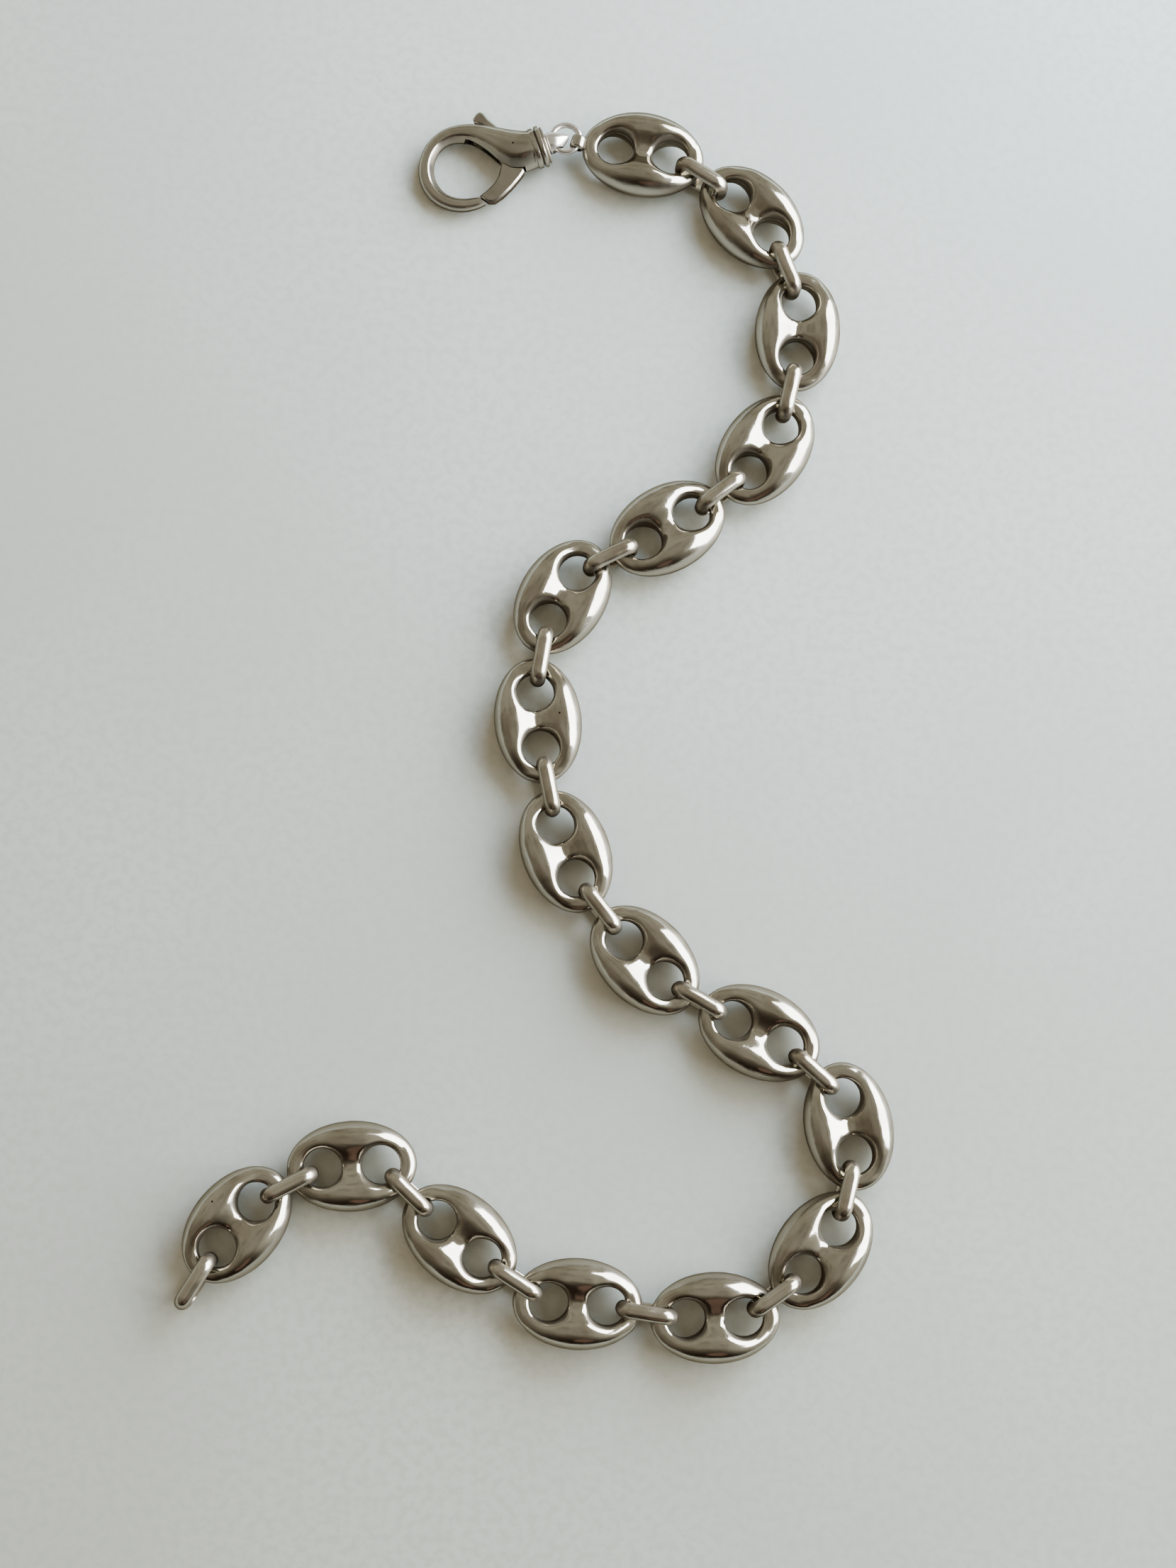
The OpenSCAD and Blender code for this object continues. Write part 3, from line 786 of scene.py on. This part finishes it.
# %% The swivel: a headed post in the collar, and the eye that the jump ring passes through
EYE_OUTLINE = np.array([  # distance from the collar, and radius
    [0, 1.65], [0.2, 1.9], [0.8, 1.95], [1.5, 1.85], [2.1, 1.65], [2.7, 1.35], [3.3, 0.95],
    [3.8, 0.55], [4.1, 0.2]])
EYE_HOLE_R = 1.1
EYE_HOLE_REACH = 1.75
DRILL = 6
egg = smooth(EYE_OUTLINE, TURNED_STEPS) + np.array([EYE_FROM, 0])
swivel_profile = np.vstack([
    [[HEAD[0], 0], [HEAD[0], HEAD_R], [HEAD[1], HEAD_R], [HEAD[1], POST_R], [EYE_FROM, POST_R]],
    egg, [[egg[-1, 0], 0]]])
eye_hole, eye_hole_faces = rod(EYE_HOLE_R, -DRILL, DRILL)
eye_hole = placed(eye_hole, turned(90), [WIRE_X + wire_bend(2 * EYE_HOLE_REACH) / 2, AXIS_Y, 0])
swivel = carved("swivel_eye", clasp_mesh("swivel", on_axis(revolved(swivel_profile))), [
    ("DIFFERENCE", clasp_mesh("eye_hole", (eye_hole, eye_hole_faces)))], WIRE_SILVER, CLASP_SHARP)
keep(swivel, "chain", "clasp_silver", "clasp_swivel")
print(f"The swivel's eye reaches {egg[-1, 0] - EYE_FROM:.1f} mm beyond its foot")

# %% [markdown]
# Three pits
#
# A casting or a pressed sheet can have a pore, and dirt stays in it as a dark dot. It could be drilled, but
# at a quarter of a millimetre nobody would see that it is a hole. A dark coat close to a point was chosen,
# and each point is measured in its piece's own frame: along, across and above.

# %% A dark dot on the seventh link, the last link and the clasp's body
PIT_R = 0.12
PIT_DARK = "#1d1813"
LINK_PITS = [  # the link's number, along and across from its middle, and height above the paper
    [7, -0.5, 3.8, 7.5],
    [17, -0.6, -5.6, 7.3]]
CLASP_PIT = [9.7, 0.3, 3.4]


def pitted(material, at):
    """Darken a material near a point in millimetres: fully within PIT_R, and not at all beyond twice that."""
    tree = material.node_tree
    base = tree.nodes["Principled BSDF"].inputs["Base Color"]
    where = add(tree, "ShaderNodeTexCoord").outputs["Object"]
    away = add(tree, "ShaderNodeVectorMath", {0: where, 1: [c * MM for c in at]}, operation="DISTANCE")
    colour = coats(tree, base.links[0].from_socket, [
        (away.outputs["Value"], 2 * PIT_R * MM, PIT_R * MM, 1.0, PIT_DARK)])
    tree.links.new(colour, base)


for number, *own in LINK_PITS:
    k = number - 1
    pitted(LINK_SILVER, placed(own, turned(LIE[k, HEADING]), [*link_at[k], 0]))
pitted(CAST_SILVER, on_clasp(CLASP_PIT))
print(f"{len(LINK_PITS) + 1} pits, each {2 * PIT_R} mm across")

# %% [markdown]
# The paper
#
# The chain lies on smooth pale paper. A floor without an end could be faked with a shadow catcher. A real
# matt plane was chosen, because silver mirrors the paper low on every flank and inside every hole.

# %% The plain pale floor
FLOOR_SIZE = 3.0
FLOOR_DROP = 0.02
PAPER = "#85897f"
PAPER_CLOUD = "#7e8178"
PAPER_FIBRE = "#7b7f75"
CLOUD_SIZE = 110
FIBRE_SIZE = 1.6
PAPER_ROUGH = 0.9


def pale_paper():
    """Matt pale paper: soft clouds, and fibres as a faint mottling."""
    material = bpy.data.materials.new("pale matt paper")
    material.use_nodes = True
    tree = material.node_tree
    shader = tree.nodes["Principled BSDF"]
    where = add(tree, "ShaderNodeTexCoord").outputs["Object"]
    cloud = add(tree, "ShaderNodeTexNoise", {
        "Vector": where, "Scale": 1 / (CLOUD_SIZE * MM), "Detail": 4.0})
    fibre = add(tree, "ShaderNodeTexNoise", {
        "Vector": where, "Scale": 1 / (FIBRE_SIZE * MM), "Detail": 3.0})
    colour = coats(tree, PAPER, [
        (cloud.outputs["Fac"], 0.3, 0.7, 1.0, PAPER_CLOUD),
        (fibre.outputs["Fac"], 0.4, 0.65, 0.8, PAPER_FIBRE)])
    tree.links.new(colour, shader.inputs["Base Color"])
    shader.inputs["Roughness"].default_value = PAPER_ROUGH
    return material


half = FLOOR_SIZE / 2 / MM
corners = [[-half, -half, -FLOOR_DROP], [half, -half, -FLOOR_DROP], [half, half, -FLOOR_DROP],
           [-half, half, -FLOOR_DROP]]
floor = as_object("floor", as_mesh("floor", corners, [[0, 1, 2, 3]]), pale_paper())
print(f"The paper is {FLOOR_SIZE} m wide")

# %% [markdown]
# The room
#
# Overhead the room is dim and warm, to the right it is bright, and towards the viewer it is almost dark, so
# the silver shows bright, brown and near black bands. A photographed room could be wrapped round the scene.
# Coats of colour by direction were chosen, as each can be named for what stands there.

# %% The room: walls, what is overhead, light spilt round the window, and the viewer with one hand raised
OVERHEAD = "#ada596"
FAR_SIDE = "#b9b3a0"
NEAR_SIDE = "#867c6b"
SPILL = "#e0dac6"
VIEWER = "#30271f"
HAND = "#8a6f60"
HAND_AT = (0.12, -0.86, 0.49)
CLUTTER = "#5f564a"
CLUTTER_SCALE = 2.6

world = bpy.data.worlds.new("room")
bpy.context.scene.world = world
world.use_nodes = True
sky = world.node_tree
direction = add(sky, "ShaderNodeTexCoord").outputs["Generated"]
parts = add(sky, "ShaderNodeSeparateXYZ", {"Vector": direction})
clutter = add(sky, "ShaderNodeTexNoise", {"Vector": direction, "Scale": CLUTTER_SCALE, "Detail": 5.0})
hand_way = add(sky, "ShaderNodeVectorMath", {0: direction, 1: HAND_AT}, operation="DOT_PRODUCT")
room = coats(sky, NEAR_SIDE, [
    (parts.outputs["Y"], -0.5, 0.75, 1.0, FAR_SIDE),
    (parts.outputs["Z"], 0.75, 1.0, 1.0, OVERHEAD),
    (clutter.outputs["Fac"], 0.50, 0.62, 0.4, CLUTTER),
    (parts.outputs["X"], 0.12, 0.8, 1.0, SPILL),
    (parts.outputs["Y"], -0.35, -0.95, 1.0, VIEWER),
    (hand_way.outputs["Value"], 0.965, 0.99, 0.8, HAND)])
background = sky.nodes["Background"]
sky.links.new(room, background.inputs["Color"])
background.inputs["Strength"].default_value = 1.0
print(f"The room is made from {len(sky.nodes)} nodes")

# %% [markdown]
# The window
#
# A large window to the right gives the long highlights and the soft shadows towards the left. A sun lamp
# would make both hard, and a bright patch in the room's colours would be noisy, so it is an area light.

# %% The window light
WINDOW_AT = Vector((0.62, 0.15, 0.295))
WINDOW_SIZE = (1.0, 0.7)
WINDOW_POWER = 36.0
WINDOW_COLOUR = "#f8fbff"

lamp = bpy.data.lights.new("window", "AREA")
lamp.shape = "RECTANGLE"
lamp.size, lamp.size_y = WINDOW_SIZE
lamp.energy = WINDOW_POWER
lamp.color = linear(WINDOW_COLOUR)[:3]
window = bpy.data.objects.new("window", lamp)
window.location = WINDOW_AT
window.rotation_euler = (-WINDOW_AT).to_track_quat("-Z", "Y").to_euler()
window.visible_camera = False
bpy.context.scene.collection.objects.link(window)
print(f"The window is {WINDOW_SIZE[0]} by {WINDOW_SIZE[1]} m, at {WINDOW_POWER} W")

# %% [markdown]
# Light that only the paper shows
#
# In the photo the paper is cooler towards the top right and warmer by the chain, and its shadows aren't
# black. Turning up the room would wash out the silver. Two soft lights that the silver doesn't mirror were
# chosen, one cool and near, one warm and large above.

# %% Two soft lights that the silver doesn't mirror: cool from the far right, and warm above
SOFT_LIGHTS = [  # name, place in metres, size in metres, power and colour
    ("glow", (0.20, 0.25, 0.20), 0.3, 8.5, "#cfe2ff"),
    ("ceiling", (-0.25, 0.05, 0.80), 1.4, 12.0, "#ffe6cc")]

for name, place, size, power, colour in SOFT_LIGHTS:
    soft = bpy.data.lights.new(name, "AREA")
    soft.size = size
    soft.energy = power
    soft.color = linear(colour)[:3]
    lit = bpy.data.objects.new(name, soft)
    lit.location = place
    lit.rotation_euler = (-Vector(place)).to_track_quat("-Z", "Y").to_euler()
    lit.visible_camera = False
    lit.visible_glossy = False
    bpy.context.scene.collection.objects.link(lit)
print(f"{len(SOFT_LIGHTS)} soft lights")

# %% [markdown]
# The camera
#
# The photo was taken by hand from almost straight above. A camera could be moved until the view looks right.
# Its place, turn and focal length were solved from the links' outlines instead, so scene and photo overlap.

# %% The camera, solved from the photo: almost straight above, a little turned towards the far side
CAMERA_AT = Vector((-7.40, -64.65, 416.8)) * MM
TILT = 7.277
SIDEWAYS = 2.222
FOCAL = 3324.7  # in the photo's pixels, as is the frame's height
FRAME_HEIGHT = 2212
SENSOR = 36.0

camera_data = bpy.data.cameras.new("camera")
camera_data.sensor_fit = "VERTICAL"
camera_data.sensor_height = SENSOR
camera_data.lens = SENSOR * FOCAL / FRAME_HEIGHT
camera = bpy.data.objects.new("camera", camera_data)
tilt, sideways = np.radians(TILT), np.radians(SIDEWAYS)
forward = Vector((np.sin(sideways) * np.cos(tilt), np.sin(tilt), -np.cos(sideways) * np.cos(tilt)))
forward.normalize()
right = forward.cross(Vector((0, 1, 0))).normalized()
up = right.cross(forward)
camera.matrix_world = Matrix.Translation(CAMERA_AT) @ Matrix((right, up, -forward)).transposed().to_4x4()
bpy.context.scene.collection.objects.link(camera)
bpy.context.scene.camera = camera
print(f"The lens is {camera_data.lens:.1f} mm, {CAMERA_AT.z / MM:.0f} mm above the paper")
